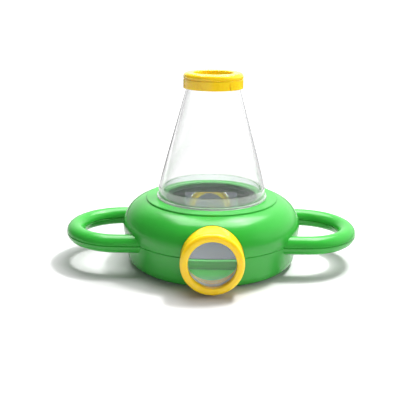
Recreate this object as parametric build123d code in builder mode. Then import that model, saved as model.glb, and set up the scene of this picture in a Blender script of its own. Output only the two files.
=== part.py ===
from build123d import *
import os
from math import acos, asin, cos, degrees, radians, sin, sqrt

# Two-way bug viewer, in millimetres.
# The origin is the centre of the flat base, +Z is up and the eyepiece faces -Y.

# Base body, turned about Z
body_r = 65.0  # widest radius, on the upper shell
parting_z = 22.8  # plane where the two shells meet
upper_h = 26.3  # from the parting plane to the plateau that carries the chamber
bulge_h = 5.3  # from the parting plane to the widest ring
plateau_r = 48.0
step_h = 1.2  # the plateau stands this much above the shoulder
step_cut = 0.4  # chamfer on the plateau's edge
lower_inset = 0.5  # the lower shell is this much smaller at the parting plane
lower_draft = 2.6  # the lower wall leans in by this much
foot_round = 7.5
wall = 2.4
parting_cut = 0.5  # chamfer on both shells, which makes the parting groove
view_hole_r = 33.5  # hole in the plateau, under the chamber

# Loop handles, round bars split along the parting plane
bar_r = 6.5
bar_wall = 2.0
bore_sides = 8  # the bars' hollow has flat sides
run_y = 33.5  # the straight runs lie at plus and minus this
bend_out = 2.0  # the half-circle bends start this far outside the widest ring
root_inset = 25.0  # the bars start this far inside it

# Screws
boss_inset = 15.0  # the screws stand this far inside the widest ring
boss_count = 4
boss_r = 4.8
screw_r = 1.5
screw_head_r = 2.8
screw_head_h = 2.2
screw_grip = 9.0  # plastic between the head and the parting plane
screw_bite = 7.0  # length in the upper boss
tip_boss_r = 3.4
tip_screw_r = 1.0
tip_head_r = 2.0
tip_head_h = 1.5
tip_grip = 3.0
tip_bite = 3.4
screw_gap = 0.1  # round a screw's shank
head_gap = 0.4  # round a screw's head
cross_w = 0.5  # cross recess in a screw's head
cross_margin = 1.1  # from the recess's ends to the head's edge

# Eyepiece, turned about a line along Y at the parting height
bezel_open_r = 16.1
bezel_wall = 3.2  # round the bore behind the lens
bezel_neck_wall = 1.4  # under the groove that the shells' ribs hold
bezel_stand = 10.2  # the front face stands this far outside the body's widest ring
bezel_inset = 15.0  # the rear end lies this far inside it
bezel_open_depth = 4.2
bezel_front_flat = 1.8  # left between the roundings of the front face
bezel_lip_round = 0.9
rib_inset = 11.0  # front face of the ribs, inside the widest ring
rib_t = 2.0
rib_side = 5.2  # the ribs reach this far beside the eyepiece
port_gap = 0.2
rib_gap = 0.1

# Groove line round both yellow rings
tier_groove_w = 0.8
tier_groove_depth = 0.5
tier_front_h = 3.2  # from the bezel's front face to the groove

# Lenses and the rings behind them
lens_edge_t = 1.8
lens_crown = 0.8
lens_gap = 0.1
front_seat_w = 2.0  # width of the flat rim that a lens is held by
top_seat_w = 1.5
front_ring_len = 4.0
top_ring_len = 2.2

# Slanted mirror and its bracket, drawn in the YZ plane
mirror_w = 40.0
mirror_len = 59.0
mirror_t = 2.0
mirror_tilt = 40.0
mirror_y = -22.0  # lower edge of the reflecting face
mirror_rise = 4.4  # that edge above the base's inner floor
tape_t = 0.8
tape_w = 10.0
tape_x = 12.0
tape_margin = 4.0  # from the ends of the slanted panel
panel_t = 2.0
panel_short = 3.0  # the panel stops this far below the mirror's top edge
plate_t = 1.5
rail_t = 1.5
rail_h = 4.2
rail_gap = 0.5
gusset_t = 2.0
plate_len = 48.0
bracket_side = 1.0  # the bracket is this much wider than the mirror on each side
stake_r = 1.5
stake_h = 2.6
stake_in = 4.5  # from the foot plate's rear edge
stake_gap = 0.1

# Clear chamber, turned about Z
flange_r = 40.2
flange_t = 1.5
seat_gap = 0.2  # under the flange
skirt_r = 39.0
skirt_h = 8.0
skirt_draft = 0.2
cone_h = 70.7
cone_wall = 1.5
neck_r = 19.05
neck_h = 8.2
dish_gap = 0.3  # between the dish and the skirt
dish_floor_t = 1.4
dish_wall = 1.4
dish_h = 7.4
dish_lean = 1.2
spigot_h = 2.2
spigot_gap = 0.3

# Cap, turned about Z
cap_wall = 1.9
cap_gap = 0.25
cap_skirt_h = 7.7  # below the neck's rim
cap_top_t = 3.0
cap_open_r = 14.2
cap_top_round = 2.6
cap_lip_round = 0.8
cap_lip_t = 3.4  # from the lens seat to the top face
cap_groove_drop = 3.6  # from the top face to the groove
pocket_wall = 1.2
pocket_depth = 5.2
mark_angle = 32.0  # thin upright mark on the skirt, to the right of the front
mark_w = 0.9
mark_h = 4.8
mark_depth = 0.5

# Sizes that follow
plateau_z = parting_z + upper_h
widest_z = parting_z + bulge_h
ledge_z = plateau_z - step_h
shoulder_in = body_r - plateau_r
shoulder_r = (shoulder_in**2 + (ledge_z - widest_z) ** 2) / (2 * shoulder_in)
shoulder_c = body_r - shoulder_r
parting_r = shoulder_c + sqrt(shoulder_r**2 - bulge_h**2)
lower_r = parting_r - lower_inset
foot_corner_r = lower_r - lower_draft
bend_x = body_r + bend_out
root_x = body_r - root_inset
tip_x = bend_x + run_y
boss_circle_r = body_r - boss_inset
front_rim_r = bezel_open_r + front_seat_w
front_bore_r = front_rim_r + lens_gap
bezel_r = front_bore_r + bezel_wall
bezel_neck_r = front_bore_r + bezel_neck_wall
bezel_front_round = bezel_r - bezel_open_r - bezel_lip_round - bezel_front_flat
bezel_front_y = -body_r - bezel_stand
bezel_rear_y = bezel_inset - body_r
rib_y = rib_inset - body_r
rib_half_w = bezel_r + rib_side
lens_y = bezel_front_y + bezel_open_depth
mirror_z = wall + mirror_rise
foot_z = plateau_z + seat_gap
skirt_top_z = foot_z + skirt_h
neck_z = skirt_top_z + cone_h
rim_z = neck_z + neck_h
dish_r = skirt_r - cone_wall - dish_gap
cap_r = neck_r + cap_gap + cap_wall
cap_top_z = rim_z + cap_top_t
lens_seat_z = cap_top_z - cap_lip_t
top_rim_r = cap_open_r + top_seat_w
pocket_r = top_rim_r + lens_gap
eyepiece_axis = Axis((0, 0, parting_z), (0, 1, 0))
grown = wall / 3  # bosses and ribs stop this far from the outer faces


# Solid of the upper shell, shrunk inwards by inset
def upper_solid(inset):
    arc_r = shoulder_r - inset
    top_x = plateau_r - inset
    arc_end = acos((top_x - shoulder_c) / arc_r)
    arc_start = -asin(bulge_h / arc_r)
    with BuildPart() as solid:
        with BuildSketch(Plane.XZ):
            with BuildLine():
                CenterArc((shoulder_c, widest_z), arc_r, degrees(arc_start), degrees(arc_end - arc_start))
                Polyline(
                    (top_x, widest_z + arc_r * sin(arc_end)),
                    (top_x, plateau_z - inset),
                    (0, plateau_z - inset),
                    (0, parting_z),
                    (shoulder_c + arc_r * cos(arc_start), parting_z),
                )
            make_face()
        revolve(axis=Axis.Z)
    return solid.part


# Solid of the lower shell, shrunk inwards by inset
def lower_solid(inset):
    with BuildPart() as solid:
        with BuildSketch(Plane.XZ):
            with BuildLine():
                Polyline(
                    (0, inset),
                    (foot_corner_r - inset, inset),
                    (lower_r - inset, parting_z),
                    (0, parting_z),
                    close=True,
                )
            make_face()
            foot_corner = vertices().group_by(Axis.Y)[0].sort_by(Axis.X)[-1]
            fillet(foot_corner, foot_round - inset)
        revolve(axis=Axis.Z)
    return solid.part


# Section of a half bar with its edges cut, above (up = 1) or below (up = -1) the parting plane
def half_round(up):
    side = sqrt(bar_r**2 - parting_cut**2)
    rise = up * parting_cut
    with BuildSketch() as section:
        with BuildLine():
            ThreePointArc((side, rise), (0, up * bar_r), (-side, rise))
            Polyline((-side, rise), (parting_cut - bar_r, 0), (bar_r - parting_cut, 0), (side, rise))
        make_face()
    return section.sketch


# A section swept round both handles
def handle_sweep(section):
    with BuildPart() as bars:
        with BuildLine(Plane.XY.offset(parting_z)) as route:
            Line((root_x, -run_y), (bend_x, -run_y))
            CenterArc((bend_x, 0), run_y, -90, 180)
            Line((bend_x, run_y), (root_x, run_y))
        with BuildSketch(Plane((root_x, -run_y, parting_z), x_dir=(0, 1, 0), z_dir=(1, 0, 0))):
            add(section)
        sweep(path=route.wires()[0])
        mirror(about=Plane.YZ)
    return bars.part


# Half section of a lens with a flat rim, about the sketch's Y axis
def lens_section(clear_r, rim_r):
    half = lens_edge_t / 2
    ball_r = (clear_r**2 + lens_crown**2) / (2 * lens_crown)
    mid_x = clear_r / 2
    mid_y = half + lens_crown - (ball_r - sqrt(ball_r**2 - mid_x**2))
    with BuildSketch() as section:
        with BuildLine():
            Line((0, -half - lens_crown), (0, half + lens_crown))
            ThreePointArc((0, half + lens_crown), (mid_x, mid_y), (clear_r, half))
            Polyline((clear_r, half), (rim_r, half), (rim_r, -half), (clear_r, -half))
            ThreePointArc((clear_r, -half), (mid_x, -mid_y), (0, -half - lens_crown))
        make_face()
    return section.sketch


# Rib plate across the eyepiece, from z_low to z_high
def bezel_rib(z_low, z_high):
    with BuildPart() as rib:
        with BuildSketch(Plane.XZ.offset(-rib_y)):
            with Locations((0, (z_low + z_high) / 2)):
                Rectangle(2 * rib_half_w, z_high - z_low)
            with Locations((0, parting_z)):
                Circle(bezel_neck_r + rib_gap, mode=Mode.SUBTRACT)
        extrude(amount=-rib_t)
    return rib.part


# Round port that the eyepiece passes through
with BuildPart() as port:
    with BuildSketch(Plane.XZ.offset(-(bezel_rear_y + rib_gap))):
        with Locations((0, parting_z)):
            Circle(bezel_r + port_gap)
    extrude(amount=body_r + bezel_rear_y + wall)

# Hollow inside the handles, which both shells share
with BuildSketch() as bore_section:
    RegularPolygon(bar_r - bar_wall, bore_sides, rotation=180 / bore_sides)
bar_bores = handle_sweep(bore_section.sketch)

# What stands inside the upper shell
with BuildPart() as upper_inner:
    with BuildSketch(Plane.XY.offset(parting_z)):
        with PolarLocations(boss_circle_r, boss_count, start_angle=180 / boss_count):
            Circle(boss_r)
    extrude(amount=upper_h)
    add(bezel_rib(parting_z, plateau_z))
    add(upper_solid(grown), mode=Mode.INTERSECT)

# Green top half of the base, with the upper halves of the handles
with BuildPart() as upper_shell:
    add(upper_solid(0))
    chamfer(edges().filter_by(GeomType.CIRCLE).group_by(Axis.Z)[0], parting_cut)
    chamfer(edges().filter_by(GeomType.CIRCLE).group_by(Axis.Z)[-1], step_cut)
    add(handle_sweep(half_round(1)))
    add(upper_solid(wall), mode=Mode.SUBTRACT)
    add(bar_bores, mode=Mode.SUBTRACT)
    add(port.part, mode=Mode.SUBTRACT)
    add(upper_inner.part)
    with BuildSketch(Plane.XY.offset(parting_z)):
        with Locations((tip_x, 0), (-tip_x, 0)):
            Circle(tip_boss_r)
    extrude(amount=bar_r - bar_wall / 2)
    with BuildSketch(Plane.XY.offset(plateau_z)):
        Circle(view_hole_r)
    extrude(amount=-(wall + step_h + grown), mode=Mode.SUBTRACT)
    with BuildSketch(Plane.XY.offset(parting_z)):
        with PolarLocations(boss_circle_r, boss_count, start_angle=180 / boss_count):
            Circle(screw_r + screw_gap)
    extrude(amount=screw_bite + head_gap, mode=Mode.SUBTRACT)
    with BuildSketch(Plane.XY.offset(parting_z)):
        with Locations((tip_x, 0), (-tip_x, 0)):
            Circle(tip_screw_r + screw_gap)
    extrude(amount=tip_bite + screw_gap, mode=Mode.SUBTRACT)
upper_shell.part.label = "upper_shell"

# What stands inside the lower shell
with BuildPart() as lower_inner:
    with BuildSketch():
        with PolarLocations(boss_circle_r, boss_count, start_angle=180 / boss_count):
            Circle(boss_r)
    extrude(amount=parting_z)
    add(bezel_rib(0, parting_z))
    add(lower_solid(grown), mode=Mode.INTERSECT)

# Places that follow the mirror's slope, in the YZ plane: along it, and under its face
slope_y = cos(radians(mirror_tilt))
slope_z = sin(radians(mirror_tilt))


def on_slope(along, under):
    return (mirror_y + along * slope_y + under * slope_z, mirror_z + along * slope_z - under * slope_y)


# Distance along the slope where a line under the face reaches height z
def along_at(z, under):
    return (z - mirror_z + under * slope_y) / slope_z


panel_top = mirror_t + tape_t
panel_bottom = panel_top + panel_t
plate_z = wall + plate_t
rail_y = mirror_y - rail_gap - rail_t
panel_end = mirror_len - panel_short
plate_end_y = rail_y + plate_len
stake_x = (mirror_w / 2 + bracket_side) / 2
stake_y = plate_end_y - stake_in

# Green bottom half of the base, with the lower halves of the handles
with BuildPart() as lower_shell:
    add(lower_solid(0))
    chamfer(edges().filter_by(GeomType.CIRCLE).group_by(Axis.Z)[-1], parting_cut)
    add(handle_sweep(half_round(-1)))
    add(lower_solid(wall), mode=Mode.SUBTRACT)
    add(bar_bores, mode=Mode.SUBTRACT)
    add(port.part, mode=Mode.SUBTRACT)
    add(lower_inner.part)
    with BuildSketch(Plane.XY.offset(parting_z)):
        with Locations((tip_x, 0), (-tip_x, 0)):
            Circle(tip_boss_r)
    extrude(amount=bar_wall / 2 - bar_r)
    with BuildSketch(Plane.XY.offset(wall)):
        with Locations((stake_x, stake_y), (-stake_x, stake_y)):
            Circle(stake_r)
    extrude(amount=stake_h)
    with BuildSketch(Plane.XY.offset(parting_z)):
        with PolarLocations(boss_circle_r, boss_count, start_angle=180 / boss_count):
            Circle(screw_r + screw_gap)
    extrude(amount=-parting_z, mode=Mode.SUBTRACT)
    with BuildSketch(Plane.XY.offset(parting_z - screw_grip)):
        with PolarLocations(boss_circle_r, boss_count, start_angle=180 / boss_count):
            Circle(screw_head_r + head_gap)
    extrude(amount=-parting_z, mode=Mode.SUBTRACT)
    with BuildSketch(Plane.XY.offset(parting_z)):
        with Locations((tip_x, 0), (-tip_x, 0)):
            Circle(tip_screw_r + screw_gap)
    extrude(amount=-bar_r, mode=Mode.SUBTRACT)
    with BuildSketch(Plane.XY.offset(parting_z - tip_grip)):
        with Locations((tip_x, 0), (-tip_x, 0)):
            Circle(tip_head_r + head_gap)
    extrude(amount=-bar_r, mode=Mode.SUBTRACT)
lower_shell.part.label = "lower_shell"

# Screws that close the base, driven from below
with BuildPart() as shell_screws:
    with BuildSketch(Plane.XY.offset(parting_z - screw_grip)):
        with PolarLocations(boss_circle_r, boss_count, start_angle=180 / boss_count):
            Circle(screw_r)
    extrude(amount=screw_grip + screw_bite)
    with BuildSketch(Plane.XY.offset(parting_z - screw_grip)):
        with PolarLocations(boss_circle_r, boss_count, start_angle=180 / boss_count):
            Circle(screw_head_r)
    extrude(amount=-screw_head_h)
    with BuildSketch(Plane.XY.offset(parting_z - screw_grip - screw_head_h)):
        with PolarLocations(boss_circle_r, boss_count, start_angle=180 / boss_count):
            Rectangle(2 * (screw_head_r - cross_margin), cross_w)
            Rectangle(cross_w, 2 * (screw_head_r - cross_margin))
    extrude(amount=screw_head_h / 2, mode=Mode.SUBTRACT)
shell_screws.part.label = "shell_screws"

# Screws in the tips of the handles
with BuildPart() as handle_screws:
    with BuildSketch(Plane.XY.offset(parting_z - tip_grip)):
        with Locations((tip_x, 0), (-tip_x, 0)):
            Circle(tip_screw_r)
    extrude(amount=tip_grip + tip_bite)
    with BuildSketch(Plane.XY.offset(parting_z - tip_grip)):
        with Locations((tip_x, 0), (-tip_x, 0)):
            Circle(tip_head_r)
    extrude(amount=-tip_head_h)
    with BuildSketch(Plane.XY.offset(parting_z - tip_grip - tip_head_h)):
        with Locations((tip_x, 0), (-tip_x, 0)):
            Rectangle(2 * (tip_head_r - cross_margin), cross_w)
            Rectangle(cross_w, 2 * (tip_head_r - cross_margin))
    extrude(amount=tip_head_h / 2, mode=Mode.SUBTRACT)
handle_screws.part.label = "handle_screws"

# Carrier of the mirror: foot plate with a front rail, slanted panel and two gussets
with BuildPart() as mirror_bracket:
    with BuildSketch(Plane.YZ):
        with BuildLine():
            Polyline(
                (rail_y, wall),
                (rail_y, wall + rail_h),
                (rail_y + rail_t, wall + rail_h),
                (rail_y + rail_t, plate_z),
                on_slope(along_at(plate_z, panel_top), panel_top),
                on_slope(panel_end, panel_top),
                on_slope(panel_end, panel_bottom),
                on_slope(along_at(plate_z, panel_bottom), panel_bottom),
                (plate_end_y, plate_z),
                (plate_end_y, wall),
                close=True,
            )
        make_face()
    extrude(amount=mirror_w / 2 + bracket_side, both=True)
    for side in (-1, 1):
        with BuildSketch(Plane.YZ.offset(side * (mirror_w / 2 + bracket_side))):
            with BuildLine():
                Polyline(
                    on_slope(along_at(plate_z, panel_bottom), panel_bottom),
                    on_slope(panel_end, panel_bottom),
                    (plate_end_y, plate_z),
                    close=True,
                )
            make_face()
        extrude(amount=-side * gusset_t)
    with BuildSketch(Plane.XY.offset(wall)):
        with Locations((stake_x, stake_y), (-stake_x, stake_y)):
            Circle(stake_r + stake_gap)
    extrude(amount=plate_t, mode=Mode.SUBTRACT)
mirror_bracket.part.label = "mirror_bracket"

# Foam tape between the mirror and the bracket
tape_start = along_at(plate_z, panel_top) + tape_margin
tape_end = panel_end - tape_margin
with BuildPart() as mirror_tape:
    for side in (-1, 1):
        with BuildSketch(Plane.YZ.offset(side * tape_x)):
            with BuildLine():
                Polyline(
                    on_slope(tape_start, mirror_t),
                    on_slope(tape_end, mirror_t),
                    on_slope(tape_end, panel_top),
                    on_slope(tape_start, panel_top),
                    close=True,
                )
            make_face()
        extrude(amount=tape_w / 2, both=True)
mirror_tape.part.label = "mirror_tape"

# Slanted mirror
with BuildPart() as mirror_plate:
    with BuildSketch(Plane.YZ):
        with BuildLine():
            Polyline(
                on_slope(0, 0),
                on_slope(mirror_len, 0),
                on_slope(mirror_len, mirror_t),
                on_slope(0, mirror_t),
                close=True,
            )
        make_face()
    extrude(amount=mirror_w / 2, both=True)
mirror_plate.part.label = "mirror"

# Yellow eyepiece ring, held by its rear groove between the shells' ribs
tier_y = bezel_front_y + tier_front_h
with BuildPart() as front_bezel:
    with BuildSketch(Plane.YZ):
        with BuildLine():
            Polyline(
                (bezel_front_y, parting_z + bezel_open_r),
                (bezel_front_y, parting_z + bezel_r),
                (tier_y, parting_z + bezel_r),
                (tier_y, parting_z + bezel_r - tier_groove_depth),
                (tier_y + tier_groove_w, parting_z + bezel_r - tier_groove_depth),
                (tier_y + tier_groove_w, parting_z + bezel_r),
                (rib_y - rib_gap, parting_z + bezel_r),
                (rib_y - rib_gap, parting_z + bezel_neck_r),
                (rib_y + rib_t + rib_gap, parting_z + bezel_neck_r),
                (rib_y + rib_t + rib_gap, parting_z + bezel_r),
                (bezel_rear_y, parting_z + bezel_r),
                (bezel_rear_y, parting_z + front_bore_r),
                (lens_y, parting_z + front_bore_r),
                (lens_y, parting_z + bezel_open_r),
                close=True,
            )
        make_face()
    revolve(axis=eyepiece_axis)
    front_edges = edges().filter_by(GeomType.CIRCLE).group_by(Axis.Y)[0].sort_by(SortBy.RADIUS)
    fillet(front_edges[-1], bezel_front_round)
    fillet(front_edges[0], bezel_lip_round)
front_bezel.part.label = "front_bezel"

# Magnifier in the eyepiece
with BuildPart() as front_lens:
    lens_plane = Plane((0, lens_y + lens_edge_t / 2, parting_z), x_dir=(1, 0, 0), z_dir=(0, 0, 1))
    with BuildSketch(lens_plane):
        add(lens_section(bezel_open_r, front_rim_r))
    revolve(axis=eyepiece_axis)
front_lens.part.label = "front_lens"

# Ring pressed in behind that lens
with BuildPart() as front_lens_ring:
    with BuildSketch(Plane.XZ.offset(-(lens_y + lens_edge_t))):
        with Locations((0, parting_z)):
            Circle(front_rim_r)
            Circle(bezel_open_r, mode=Mode.SUBTRACT)
    extrude(amount=-front_ring_len)
front_lens_ring.part.label = "front_lens_ring"

# Clear conical wall of the chamber, with its foot flange and neck
skirt_top_r = skirt_r - skirt_draft
with BuildPart() as chamber_cone:
    with BuildSketch(Plane.XZ):
        with BuildLine():
            Polyline(
                (flange_r, foot_z),
                (flange_r, foot_z + flange_t),
                (skirt_r, foot_z + flange_t),
                (skirt_top_r, skirt_top_z),
                (neck_r, neck_z),
                (neck_r, rim_z),
                (neck_r - cone_wall, rim_z),
                (neck_r - cone_wall, neck_z),
                (skirt_top_r - cone_wall, skirt_top_z),
                (skirt_r - cone_wall, foot_z),
                close=True,
            )
        make_face()
    revolve(axis=Axis.Z)
chamber_cone.part.label = "chamber_cone"

# Clear floor of the chamber, with a low wall above and a spigot below
dish_rim_z = plateau_z + dish_h
spigot_r = view_hole_r - spigot_gap
with BuildPart() as chamber_dish:
    with BuildSketch(Plane.XZ):
        with BuildLine():
            Polyline(
                (0, plateau_z),
                (spigot_r - dish_wall, plateau_z),
                (spigot_r - dish_wall, plateau_z - spigot_h),
                (spigot_r, plateau_z - spigot_h),
                (spigot_r, plateau_z),
                (dish_r, plateau_z),
                (dish_r - dish_lean, dish_rim_z),
                (dish_r - dish_lean - dish_wall, dish_rim_z),
                (dish_r - dish_wall, plateau_z + dish_floor_t),
                (0, plateau_z + dish_floor_t),
                close=True,
            )
        make_face()
    revolve(axis=Axis.Z)
chamber_dish.part.label = "chamber_dish"

# Yellow cap, with a skirt outside the neck and a lens pocket inside it
groove_z = cap_top_z - cap_groove_drop
skirt_end_z = rim_z - cap_skirt_h
pocket_end_z = lens_seat_z - pocket_depth
with BuildPart() as cap_ring:
    with BuildSketch(Plane.XZ):
        with BuildLine():
            Polyline(
                (cap_open_r, cap_top_z),
                (cap_r, cap_top_z),
                (cap_r, groove_z),
                (cap_r - tier_groove_depth, groove_z),
                (cap_r - tier_groove_depth, groove_z - tier_groove_w),
                (cap_r, groove_z - tier_groove_w),
                (cap_r, skirt_end_z),
                (cap_r - cap_wall, skirt_end_z),
                (cap_r - cap_wall, rim_z),
                (pocket_r + pocket_wall, rim_z),
                (pocket_r + pocket_wall, pocket_end_z),
                (pocket_r, pocket_end_z),
                (pocket_r, lens_seat_z),
                (cap_open_r, lens_seat_z),
                close=True,
            )
        make_face()
    revolve(axis=Axis.Z)
    top_edges = edges().filter_by(GeomType.CIRCLE).group_by(Axis.Z)[-1].sort_by(SortBy.RADIUS)
    fillet(top_edges[-1], cap_top_round)
    fillet(top_edges[0], cap_lip_round)
    mark_plane = Plane(
        (cap_r * sin(radians(mark_angle)), -cap_r * cos(radians(mark_angle)), skirt_end_z + mark_h / 2),
        x_dir=(cos(radians(mark_angle)), sin(radians(mark_angle)), 0),
        z_dir=(0, 0, 1),
    )
    with BuildSketch(mark_plane.offset(-mark_h / 2)):
        Rectangle(mark_w, 2 * mark_depth)
    extrude(amount=mark_h, mode=Mode.SUBTRACT)
cap_ring.part.label = "cap_ring"

# Magnifier in the cap
with BuildPart() as top_lens:
    with BuildSketch(Plane((0, 0, lens_seat_z - lens_edge_t / 2), x_dir=(1, 0, 0), z_dir=(0, -1, 0))):
        add(lens_section(cap_open_r, top_rim_r))
    revolve(axis=Axis.Z)
top_lens.part.label = "top_lens"

# Ring pressed in under that lens
with BuildPart() as top_lens_ring:
    with BuildSketch(Plane.XY.offset(lens_seat_z - lens_edge_t)):
        Circle(top_rim_r)
        Circle(cap_open_r, mode=Mode.SUBTRACT)
    extrude(amount=-top_ring_len)
top_lens_ring.part.label = "top_lens_ring"

os.makedirs("parts", exist_ok=True)
export_step(upper_shell.part, "parts/upper_shell.step")
export_step(lower_shell.part, "parts/lower_shell.step")
export_step(shell_screws.part, "parts/shell_screws.step")
export_step(handle_screws.part, "parts/handle_screws.step")
export_step(mirror_bracket.part, "parts/mirror_bracket.step")
export_step(mirror_tape.part, "parts/mirror_tape.step")
export_step(mirror_plate.part, "parts/mirror.step")
export_step(front_bezel.part, "parts/front_bezel.step")
export_step(front_lens.part, "parts/front_lens.step")
export_step(front_lens_ring.part, "parts/front_lens_ring.step")
export_step(chamber_cone.part, "parts/chamber_cone.step")
export_step(chamber_dish.part, "parts/chamber_dish.step")
export_step(cap_ring.part, "parts/cap_ring.step")
export_step(top_lens.part, "parts/top_lens.step")
export_step(top_lens_ring.part, "parts/top_lens_ring.step")
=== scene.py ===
import math

import bmesh
import bpy
from mathutils import Matrix, Quaternion, Vector


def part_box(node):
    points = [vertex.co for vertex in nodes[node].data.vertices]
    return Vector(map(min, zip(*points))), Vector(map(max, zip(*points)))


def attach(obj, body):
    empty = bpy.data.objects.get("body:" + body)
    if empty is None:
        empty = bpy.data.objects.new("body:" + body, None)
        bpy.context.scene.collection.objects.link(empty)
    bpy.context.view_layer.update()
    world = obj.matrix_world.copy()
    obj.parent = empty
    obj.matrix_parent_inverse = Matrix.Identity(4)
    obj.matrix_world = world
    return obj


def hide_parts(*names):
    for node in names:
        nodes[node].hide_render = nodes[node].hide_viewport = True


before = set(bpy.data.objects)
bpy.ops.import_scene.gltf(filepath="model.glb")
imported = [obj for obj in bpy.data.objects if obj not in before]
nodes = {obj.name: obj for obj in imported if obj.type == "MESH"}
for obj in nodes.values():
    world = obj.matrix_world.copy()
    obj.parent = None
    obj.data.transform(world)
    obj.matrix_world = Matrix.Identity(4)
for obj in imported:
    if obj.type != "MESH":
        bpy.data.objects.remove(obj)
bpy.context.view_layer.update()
mm = 0.001


# a node of a shader tree, with some of its own settings
def addNode(tree, kind, **settings):
    node = tree.nodes.new(kind)
    for name, value in settings.items():
        setattr(node, name, value)
    return node


# a socket takes a plain number, or what another node gives
def feed(tree, value, socket):
    if isinstance(value, float):
        socket.default_value = value
    else:
        tree.links.new(value, socket)


# two numbers made into one
def joined(tree, operation, first, second, clamp=False):
    node = addNode(tree, "ShaderNodeMath", operation=operation, use_clamp=clamp)
    feed(tree, first, node.inputs[0])
    feed(tree, second, node.inputs[1])
    return node.outputs["Value"]


# a number that goes from start to end while the share goes from 0 to 1
def between(tree, share, start, end):
    node = addNode(tree, "ShaderNodeMix", data_type="FLOAT")
    feed(tree, share, node.inputs["Factor"])
    feed(tree, start, node.inputs["A"])
    feed(tree, end, node.inputs["B"])
    return node.outputs["Result"]


# a number that goes from start to end while the value goes from low to high
def ramp(tree, value, low, high, start, end, smooth=False):
    span = addNode(tree, "ShaderNodeMapRange")
    span.interpolation_type = "SMOOTHSTEP" if smooth else "LINEAR"
    for name, number in (("From Min", low), ("From Max", high), ("To Min", start), ("To Max", end)):
        span.inputs[name].default_value = number
    tree.links.new(value, span.inputs["Value"])
    return span.outputs["Result"]


def freshMaterial(name):
    material = bpy.data.materials.new(name)
    material.use_nodes = True
    tree = material.node_tree
    return material, tree, tree.nodes["Principled BSDF"]


noiseSpan = (0.3, 0.7)  # nearly all of the noise lies between these


# noise in the part's own metres, sent through a range
def noiseBetween(tree, scale, low, high, detail=3.0):
    place = addNode(tree, "ShaderNodeTexCoord")
    noise = addNode(tree, "ShaderNodeTexNoise")
    noise.inputs["Scale"].default_value = scale
    noise.inputs["Detail"].default_value = detail
    tree.links.new(place.outputs["Object"], noise.inputs["Vector"])
    return ramp(tree, noise.outputs["Fac"], *noiseSpan, low, high)


# two close tones of one colour, mixed in soft patches
def patchyColour(tree, look):
    blend = addNode(tree, "ShaderNodeMix", data_type="RGBA")
    blend.inputs["A"].default_value = (*look["colour"], 1)
    blend.inputs["B"].default_value = (*look["deepColour"], 1)
    tree.links.new(noiseBetween(tree, look["patchScale"], 0.0, 1.0), blend.inputs["Factor"])
    return blend.outputs["Result"]


# gloss that is a little uneven
def unevenRoughness(tree, look):
    return noiseBetween(tree, look["shineScale"], *look["roughness"])


# a surface that rises and falls with a relief
def raised(tree, relief, height):
    bump = addNode(tree, "ShaderNodeBump")
    bump.inputs["Distance"].default_value = height
    tree.links.new(relief, bump.inputs["Height"])
    return bump


# a faint moulded surface, over softly rounded edges
def mouldedNormal(tree, look):
    rounded = addNode(tree, "ShaderNodeBevel")
    rounded.inputs["Radius"].default_value = look["edge"]
    peel = raised(tree, noiseBetween(tree, look["peelScale"], 0.0, 1.0), look["peelHeight"])
    tree.links.new(rounded.outputs["Normal"], peel.inputs["Normal"])
    return peel.outputs["Normal"]


# slow waves in a smooth surface
def wavyNormal(tree, look):
    waves = noiseBetween(tree, look["waveScale"], 0.0, 1.0, detail=1.0)
    return raised(tree, waves, look["waveHeight"]).outputs["Normal"]


# glossy moulded plastic
def mouldedPlastic(name, look):
    material, tree, shader = freshMaterial(name)
    tree.links.new(patchyColour(tree, look), shader.inputs["Base Color"])
    tree.links.new(unevenRoughness(tree, look), shader.inputs["Roughness"])
    tree.links.new(mouldedNormal(tree, look), shader.inputs["Normal"])
    shader.inputs["IOR"].default_value = look["bend"]
    shader.inputs["Subsurface Weight"].default_value = look["glow"]
    shader.inputs["Subsurface Radius"].default_value = look["glowReach"]
    shader.inputs["Subsurface Scale"].default_value = mm
    return material


greenLook = {
    "colour": (0.030, 0.370, 0.036),
    "deepColour": (0.027, 0.345, 0.032),
    "patchScale": 45.0,
    "roughness": (0.19, 0.26),
    "shineScale": 120.0,
    "peelScale": 700.0,
    "peelHeight": 0.004 * mm,
    "edge": 0.3 * mm,
    "bend": 1.5,
    "glow": 0.0,
    "glowReach": (1.0, 2.0, 1.0),  # millimetres
}
yellowLook = {
    "colour": (1.0, 0.67, 0.012),
    "deepColour": (1.0, 0.635, 0.010),
    "patchScale": 70.0,
    "roughness": (0.10, 0.17),
    "shineScale": 150.0,
    "peelScale": 800.0,
    "peelHeight": 0.004 * mm,
    "edge": 0.3 * mm,
    "bend": 1.5,
    "glow": 0.25,
    "glowReach": (3.0, 1.5, 0.3),
}
# painted light: a paler copy of the body green, so the rail, which gets little light through the
# lens, looks lit
paintedLightBracketLook = dict(  # paler and duller
    greenLook, colour=(0.085, 0.66, 0.11), deepColour=(0.076, 0.62, 0.10), roughness=(0.42, 0.5)
)
whiteLook = dict(greenLook, colour=(0.80, 0.80, 0.77), deepColour=(0.76, 0.76, 0.73))
greenPlastic = mouldedPlastic("greenPlastic", greenLook)
paintedLightBracketGreen = mouldedPlastic("paintedLightBracketGreen", paintedLightBracketLook)
yellowPlastic = mouldedPlastic("yellowPlastic", yellowLook)
whitePlastic = mouldedPlastic("whitePlastic", whiteLook)
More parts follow.
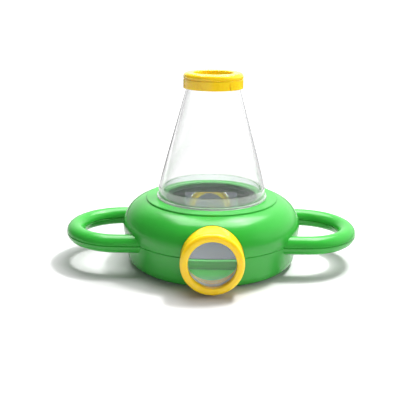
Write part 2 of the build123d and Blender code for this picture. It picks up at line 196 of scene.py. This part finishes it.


# clear moulded plastic: it bends light, lets the lamps shine through, and has painted shade where it
# is seen edge on
def clearPlastic(name, look):
    material, tree, shader = freshMaterial(name)
    links = tree.links
    # painted shade: the colour turns grey where a face is seen edge on, for dark edges on the glass
    facing = addNode(tree, "ShaderNodeLayerWeight")
    facing.inputs["Blend"].default_value = look["edgeBlend"]
    edgeShadeTint = addNode(tree, "ShaderNodeMix", data_type="RGBA")
    edgeShadeTint.inputs["A"].default_value = (*look["colour"], 1)
    edgeShadeTint.inputs["B"].default_value = (*look["edgeShadeColour"], 1)
    links.new(facing.outputs["Facing"], edgeShadeTint.inputs["Factor"])
    links.new(edgeShadeTint.outputs["Result"], shader.inputs["Base Color"])
    links.new(unevenRoughness(tree, look), shader.inputs["Roughness"])
    links.new(wavyNormal(tree, look), shader.inputs["Normal"])
    shader.inputs["Transmission Weight"].default_value = look["clearness"]
    shader.inputs["IOR"].default_value = look["bend"]
    through = addNode(tree, "ShaderNodeBsdfTransparent")
    share = look["lampShare"]
    through.inputs["Color"].default_value = (share, share, share, 1)
    path = addNode(tree, "ShaderNodeLightPath")
    lamps = joined(tree, "MAXIMUM", path.outputs["Is Shadow Ray"], path.outputs["Is Diffuse Ray"])
    pick = addNode(tree, "ShaderNodeMixShader")
    links.new(lamps, pick.inputs["Fac"])
    links.new(shader.outputs["BSDF"], pick.inputs[1])
    links.new(through.outputs["BSDF"], pick.inputs[2])
    links.new(pick.outputs["Shader"], tree.nodes["Material Output"].inputs["Surface"])
    return material


chamberLook = {
    "colour": (0.995, 0.997, 0.997),
    # painted shade: the glass is tinted this dark grey where a face is seen edge on
    "edgeShadeColour": (0.30, 0.31, 0.31),  # where a face is seen edge on
    "edgeBlend": 0.11,
    "roughness": (0.0, 0.03),
    "shineScale": 60.0,
    "waveScale": 90.0,
    "waveHeight": 0.01 * mm,
    "bend": 1.49,
    "clearness": 1.0,  # less than 1 is hazy
    "lampShare": 1.0,  # how much of the lamps' light each face lets through
}
lensLook = {
    "colour": (0.985, 0.985, 0.995),
    # painted shade: the lens is tinted this light grey where a face is seen edge on
    "edgeShadeColour": (0.90, 0.91, 0.93),
    "edgeBlend": 0.25,
    "roughness": (0.0, 0.02),
    "shineScale": 60.0,
    "waveScale": 60.0,
    "waveHeight": 0.004 * mm,
    "bend": 1.49,
    "clearness": 1.0,
    "lampShare": 1.0,
}
floorPlateLook = dict(  # little gloss, and dimmer below it
    chamberLook, colour=(0.92, 0.98, 0.965), bend=1.09, lampShare=0.72
)
hazyFootLook = dict(chamberLook, clearness=0.86, roughness=(0.05, 0.16))
clearChamber = clearPlastic("clearChamber", chamberLook)
hazyFoot = clearPlastic("hazyFoot", hazyFootLook)
clearFloorPlate = clearPlastic("clearFloorPlate", floorPlateLook)
clearLens = clearPlastic("clearLens", lensLook)


# bare metal, a little uneven
def metalSheet(name, look):
    material, tree, shader = freshMaterial(name)
    tree.links.new(patchyColour(tree, look), shader.inputs["Base Color"])
    tree.links.new(unevenRoughness(tree, look), shader.inputs["Roughness"])
    tree.links.new(wavyNormal(tree, look), shader.inputs["Normal"])
    shader.inputs["Metallic"].default_value = 1.0
    return material


mirrorLook = {
    "colour": (0.84, 0.91, 0.99),
    "deepColour": (0.80, 0.87, 0.95),
    "patchScale": 30.0,
    "roughness": (0.02, 0.06),
    "shineScale": 80.0,
    "waveScale": 40.0,
    "waveHeight": 0.01 * mm,
}
screwLook = {
    "colour": (0.62, 0.62, 0.64),
    "deepColour": (0.50, 0.50, 0.52),
    "patchScale": 900.0,
    "roughness": (0.25, 0.42),
    "shineScale": 1500.0,
    "waveScale": 1200.0,
    "waveHeight": 0.01 * mm,
}
mirrorSilver = metalSheet("mirrorSilver", mirrorLook)
screwSteel = metalSheet("screwSteel", screwLook)

tapeLook = {
    "colour": (0.78, 0.78, 0.74),
    "deepColour": (0.66, 0.66, 0.62),
    "patchScale": 1200.0,
    "roughness": 0.9,
    "cellScale": 1600.0,
    "cellHeight": 0.08 * mm,
}


# soft foam with fine cells
def foamTape(name, look):
    material, tree, shader = freshMaterial(name)
    tree.links.new(patchyColour(tree, look), shader.inputs["Base Color"])
    shader.inputs["Roughness"].default_value = look["roughness"]
    place = addNode(tree, "ShaderNodeTexCoord")
    cells = addNode(tree, "ShaderNodeTexVoronoi")
    cells.inputs["Scale"].default_value = look["cellScale"]
    tree.links.new(place.outputs["Object"], cells.inputs["Vector"])
    dents = raised(tree, cells.outputs["Distance"], look["cellHeight"])
    tree.links.new(dents.outputs["Normal"], shader.inputs["Normal"])
    return material


whiteFoam = foamTape("whiteFoam", tapeLook)
print("materials:", len(bpy.data.materials))

turnedLook = {
    "turns": 240,
    "arcSteps": 5,  # along each rounding
    "weld": 0.001 * mm,
    "faceWeight": 100,  # the larger faces decide the shading
}


# outline of a turned piece: corners (radius, height, rounding), each rounding a short arc
def roundedOutline(corners):
    outline = []
    steps = turnedLook["arcSteps"]
    for index, (radius, height, rounding) in enumerate(corners):
        corner = Vector((radius, height))
        if rounding == 0:
            outline.append(corner)
            continue
        before = Vector(corners[index - 1][:2]) - corner
        after = Vector(corners[(index + 1) % len(corners)][:2]) - corner
        before.normalize()
        after.normalize()
        half = before.angle(after) / 2
        middle = corner + (before + after).normalized() * rounding / math.sin(half)
        first = corner + before * rounding / math.tan(half) - middle
        last = corner + after * rounding / math.tan(half) - middle
        for step in range(steps + 1):
            spoke = first.lerp(last, step / steps)
            outline.append(middle + spoke.normalized() * rounding)
    return outline


# a closed outline of (radius, height) turned about Z, then moved to its place
def turnedPiece(name, outline, finish, place=Matrix()):
    shape = bmesh.new()
    dots = [shape.verts.new((radius, 0, height)) for radius, height in outline]
    sides = []
    for here, there in zip(dots, dots[1:] + dots[:1]):
        if here.co.x > 0 or there.co.x > 0:
            sides.append(shape.edges.new((here, there)))
    bmesh.ops.spin(
        shape,
        geom=dots + sides,
        axis=(0, 0, 1),
        angle=2 * math.pi,
        steps=turnedLook["turns"],
        use_merge=True,
    )
    bmesh.ops.remove_doubles(shape, verts=shape.verts, dist=turnedLook["weld"])
    bmesh.ops.recalc_face_normals(shape, faces=shape.faces)
    bmesh.ops.transform(shape, matrix=place, verts=shape.verts)
    for face in shape.faces:
        face.smooth = True
    mesh = bpy.data.meshes.new(name)
    shape.to_mesh(mesh)
    shape.free()
    mesh.materials.append(finish)
    piece = bpy.data.objects.new(name, mesh)
    bpy.context.scene.collection.objects.link(piece)
    even = piece.modifiers.new("evenShading", "WEIGHTED_NORMAL")
    even.weight = turnedLook["faceWeight"]
    return piece


# the new piece stands for a CAD node: it goes on its body, and the node is hidden
def standsFor(piece, node, body):
    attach(piece, body)
    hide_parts(node)


coneLook = {
    "flangeThick": 1.5 * mm,
    "flangeLip": 1.2 * mm,  # the flange reaches this far out of the skirt
    "skirtHeight": 8.0 * mm,
    "skirtDraft": 0.2 * mm,
    "neckRadius": 19.05 * mm,
    "neckHeight": 8.2 * mm,
    "wall": 1.5 * mm,
    "edge": 0.3 * mm,
    "bend": 1.2 * mm,  # rounding where the wall changes its slope
}


# clear wall of the chamber: flange and upright skirt, both a little hazy, then cone and neck
def chamberCone(look):
    low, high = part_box("chamber_cone")
    flangeR = high[0]
    skirtR = flangeR - look["flangeLip"]
    skirtTopR = skirtR - look["skirtDraft"]
    skirtTop = low[2] + look["skirtHeight"]
    neckLow = high[2] - look["neckHeight"]
    neckR = look["neckRadius"]
    wall, edge, bend = look["wall"], look["edge"], look["bend"]
    corners = [
        (skirtR - wall, low[2], edge),
        (flangeR, low[2], edge),
        (flangeR, low[2] + look["flangeThick"], edge),
        (skirtR, low[2] + look["flangeThick"], edge),
        (skirtTopR, skirtTop, bend),
        (neckR, neckLow, bend),
        (neckR, high[2], edge),
        (neckR - wall, high[2], edge),
        (neckR - wall, neckLow, bend),
        (skirtTopR - wall, skirtTop, bend),
    ]
    piece = turnedPiece("chamberCone", roundedOutline(corners), clearChamber)
    piece.data.materials.append(hazyFoot)
    hazyIndex = len(piece.data.materials) - 1
    for face in piece.data.polygons:
        if face.center.z < skirtTop - bend:
            face.material_index = hazyIndex
    standsFor(piece, "chamber_cone", "cone")


chamberCone(coneLook)

dishLook = {
    "wall": 1.4 * mm,
    "lean": 1.2 * mm,  # the low wall leans in by this much
    "spigotHeight": 2.2 * mm,
    "spigotRadius": 33.2 * mm,
    "floorThick": 1.4 * mm,
    "edge": 0.3 * mm,
    "lift": 0.03 * mm,  # a breath of air over the plateau
}


# clear floor of the chamber, with a low wall above and a spigot below
def chamberDish(look):
    low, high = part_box("chamber_dish")
    plateau = low[2] + look["spigotHeight"] + look["lift"]
    outerR = high[0]
    spigotR = look["spigotRadius"]
    rimR = outerR - look["lean"]
    wall, edge = look["wall"], look["edge"]
    floorTop = plateau + look["floorThick"]
    corners = [
        (0, plateau, 0),
        (spigotR - wall, plateau, edge),
        (spigotR - wall, low[2], edge),
        (spigotR, low[2], edge),
        (spigotR, plateau, edge),
        (outerR, plateau, edge),
        (rimR, high[2], edge),
        (rimR - wall, high[2], edge),
        (outerR - wall, floorTop, edge),
        (0, floorTop, 0),
    ]
    piece = turnedPiece("chamberDish", roundedOutline(corners), clearFloorPlate)
    standsFor(piece, "chamber_dish", "dish")


chamberDish(dishLook)

lensShape = {
    "edgeThick": 1.8 * mm,
    "seatWidth": {"front_lens": 2.0 * mm, "top_lens": 1.5 * mm},  # flat rim round the clear part
    "ease": 0.02 * mm,  # off its seat
    "arcSteps": 40,
}


# a lens with two round faces and a flat rim, lying about Z
def lensOutline(look, clearR, rimR, crown):
    half = look["edgeThick"] / 2 - look["ease"]
    ballR = (clearR ** 2 + crown ** 2) / (2 * crown)
    face = []
    for step in range(look["arcSteps"] + 1):
        reach = clearR * step / look["arcSteps"]
        face.append((reach, half + crown - ballR + math.sqrt(ballR ** 2 - reach ** 2)))
    lower = [(reach, -height) for reach, height in face]
    return lower + [(rimR, -half), (rimR, half)] + face[::-1]


# a lens in its place; its box is thinnest along the lens's own axis
def clearLensPiece(look, name, node, body, tilt):
    low, high = Vector(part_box(node)[0]), Vector(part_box(node)[1])
    extent = high - low
    rimR = max(extent) / 2
    clearR = rimR - look["seatWidth"][node]
    crown = (min(extent) - look["edgeThick"]) / 2
    place = Matrix.Translation((low + high) / 2) @ Matrix.Rotation(tilt, 4, "X")
    piece = turnedPiece(name, lensOutline(look, clearR, rimR - look["ease"], crown), clearLens, place)
    standsFor(piece, node, body)


clearLensPiece(lensShape, "eyepieceLens", "front_lens", "base", math.pi / 2)
clearLensPiece(lensShape, "capLens", "top_lens", "cap", 0.0)
print("turned pieces: cone, dish and two lenses")

finishes = {
    "upper_shell": greenPlastic,
    "lower_shell": greenPlastic,
    # the bracket's paler green is painted light
    "mirror_bracket": paintedLightBracketGreen,
    "front_bezel": yellowPlastic,
    "front_lens_ring": whitePlastic,
    "cap_ring": yellowPlastic,
    "top_lens_ring": yellowPlastic,
    "mirror": mirrorSilver,
    "mirror_tape": whiteFoam,
    "shell_screws": screwSteel,
    "handle_screws": screwSteel,
}
for nodeName, finish in finishes.items():
    for holder in nodes[nodeName].material_slots:
        holder.material = finish
print("finishes:", len(finishes), "nodes dressed")


# 1 for what the camera sees, straight or by way of gloss and glass
def seenDirectly(tree):
    path = addNode(tree, "ShaderNodeLightPath")
    direct = joined(tree, "MAXIMUM", path.outputs["Is Camera Ray"], path.outputs["Is Glossy Ray"])
    return joined(tree, "MAXIMUM", direct, path.outputs["Is Transmission Ray"])


# how far a vector goes towards a side
def towards(tree, vector, side):
    way = addNode(tree, "ShaderNodeVectorMath", operation="DOT_PRODUCT")
    way.inputs[1].default_value = side
    tree.links.new(vector, way.inputs[0])
    return way.outputs["Value"]


floorLook = {
    "size": 6.0,
    "drop": 0.2 * mm,
    "colour": 0.60,  # as the camera sees it
    "bounce": 0.56,  # as the part sees it
    "white": 1.25,  # further out
    "clearFrom": 0.20,  # from here outwards the floor fades to plain white
    "clearTo": 0.42,
    "shine": (0.15, 1.25),  # far floor as gloss shows it, bright only out on the left
    "brightSide": (-1.0, -0.3, 0.0),
    "turn": (0.3, 0.6),  # towards the bright side, where dark turns to bright
    "roughness": 0.6,
}


# pale near the part, where the shadow falls, and glowing white further out
def floorMaterial(name, look):
    material, tree, shader = freshMaterial(name)
    links = tree.links
    seen = seenDirectly(tree)
    place = addNode(tree, "ShaderNodeTexCoord")
    reach = addNode(tree, "ShaderNodeVectorMath", operation="LENGTH")
    links.new(place.outputs["Object"], reach.inputs[0])
    away = ramp(tree, reach.outputs["Value"], look["clearFrom"], look["clearTo"], 0.0, 1.0, True)
    side = towards(tree, place.outputs["Object"], look["brightSide"])
    shine = ramp(tree, side, *look["turn"], *look["shine"], True)
    path = addNode(tree, "ShaderNodeLightPath")
    glossy, clear = path.outputs["Is Glossy Ray"], path.outputs["Is Transmission Ray"]
    inGloss = joined(tree, "SUBTRACT", glossy, clear, clamp=True)
    white = joined(tree, "MULTIPLY", between(tree, inGloss, look["white"], shine), away)
    tone = ramp(tree, away, 0.0, 1.0, look["colour"], 0.0)
    links.new(between(tree, seen, look["bounce"], tone), shader.inputs["Base Color"])
    links.new(joined(tree, "MULTIPLY", seen, white), shader.inputs["Emission Strength"])
    shader.inputs["Emission Color"].default_value = (1, 1, 1, 1)
    shader.inputs["Roughness"].default_value = look["roughness"]
    shader.inputs["Specular IOR Level"].default_value = 0.0
    return material


def paleFloor(look):
    mesh = bpy.data.meshes.new("paleFloor")
    sheet = bmesh.new()
    bmesh.ops.create_grid(sheet, x_segments=1, y_segments=1, size=look["size"] / 2)
    sheet.to_mesh(mesh)
    sheet.free()
    mesh.materials.append(floorMaterial("paleFloor", look))
    floor = bpy.data.objects.new("paleFloor", mesh)
    floor.location.z = -look["drop"]
    bpy.context.scene.collection.objects.link(floor)


paleFloor(floorLook)

roomLook = {
    "white": 1.25,  # what the camera sees, also through glass
    "gloss": (0.12, 1.15),  # what shines in the surfaces, from the dark side and from the bright side
    "glossFrom": 0.5,  # one bounce off gloss or more
    "fill": (0.06, 0.34),  # light on the part, from the same two sides
    "brightSide": (0.53, 0.80, 0.15),
    "turn": (-0.1, 0.75),
}


# white all round to the eye
# for gloss and fill, bright behind on the right and darker in front on the left
def whiteRoom(look):
    world = bpy.data.worlds.new("whiteRoom")
    world.use_nodes = True
    bpy.context.scene.world = world
    tree = world.node_tree
    place = addNode(tree, "ShaderNodeTexCoord")
    way = towards(tree, place.outputs["Generated"], look["brightSide"])
    gloss = ramp(tree, way, *look["turn"], *look["gloss"], True)
    fill = ramp(tree, way, *look["turn"], *look["fill"], True)
    path = addNode(tree, "ShaderNodeLightPath")
    inGloss = joined(tree, "GREATER_THAN", path.outputs["Glossy Depth"], look["glossFrom"])
    toEye = between(tree, inGloss, look["white"], gloss)
    background = tree.nodes["Background"]
    background.inputs["Color"].default_value = (1, 1, 1, 1)
    tree.links.new(between(tree, seenDirectly(tree), fill, toEye), background.inputs["Strength"])


whiteRoom(roomLook)
print("floor and room set")

lampLooks = {
    "keyLamp": {"from": (0.33, 0.23, 0.91), "size": (0.15, 0.15), "watts": 8.5, "shines": False},
    "glintLamp": {"from": (0.33, 0.23, 0.91), "size": (0.40, 0.06), "watts": 2.0, "shines": True},
    "topBox": {"from": (0.05, 0.32, 1.10), "size": (1.10, 0.95), "watts": 20.0, "shines": True},
    "rightBox": {"from": (1.05, -0.45, 0.50), "size": (0.50, 0.60), "watts": 3.9, "shines": False},
    "frontBox": {"from": (0.10, -1.25, 0.30), "size": (0.80, 0.50), "watts": 4.0, "shines": False},
}
lampAim = Vector((0, 0, 0.03))


def softLamp(name, look):
    data = bpy.data.lights.new(name, "AREA")
    data.shape = "RECTANGLE"
    data.size, data.size_y = look["size"]
    data.energy = look["watts"]
    lamp = bpy.data.objects.new(name, data)
    lamp.location = look["from"]
    lamp.rotation_mode = "QUATERNION"
    lamp.rotation_quaternion = (lampAim - Vector(look["from"])).to_track_quat("-Z", "Y")
    lamp.visible_glossy = look["shines"]  # a lamp that doesn't shine leaves no spot on gloss
    lamp.visible_transmission = False  # nor does any show through the glass
    bpy.context.scene.collection.objects.link(lamp)


for lampName, lampLook in lampLooks.items():
    softLamp(lampName, lampLook)
print("lamps:", len(lampLooks))

cameraLook = {
    "place": (-0.00851, -0.52, 0.19531),
    "lookDown": 0.28018,  # radians
    "roll": 0.01106,
    "lens": 65.96,  # millimetres, as is the sensor
    "sensor": 36.0,
    "near": 0.01,
}


# a camera where the photo was taken from
def photoCamera(look):
    data = bpy.data.cameras.new("photoCamera")
    data.lens = look["lens"]
    data.sensor_width = look["sensor"]
    data.clip_start = look["near"]
    camera = bpy.data.objects.new("photoCamera", data)
    camera.location = look["place"]
    camera.rotation_mode = "QUATERNION"
    tilt = Quaternion((1, 0, 0), math.pi / 2 - look["lookDown"])
    camera.rotation_quaternion = tilt @ Quaternion((0, 0, 1), look["roll"])
    bpy.context.scene.collection.objects.link(camera)
    bpy.context.scene.camera = camera


photoCamera(cameraLook)
bpy.context.scene.view_settings.view_transform = "Standard"
print("camera set")
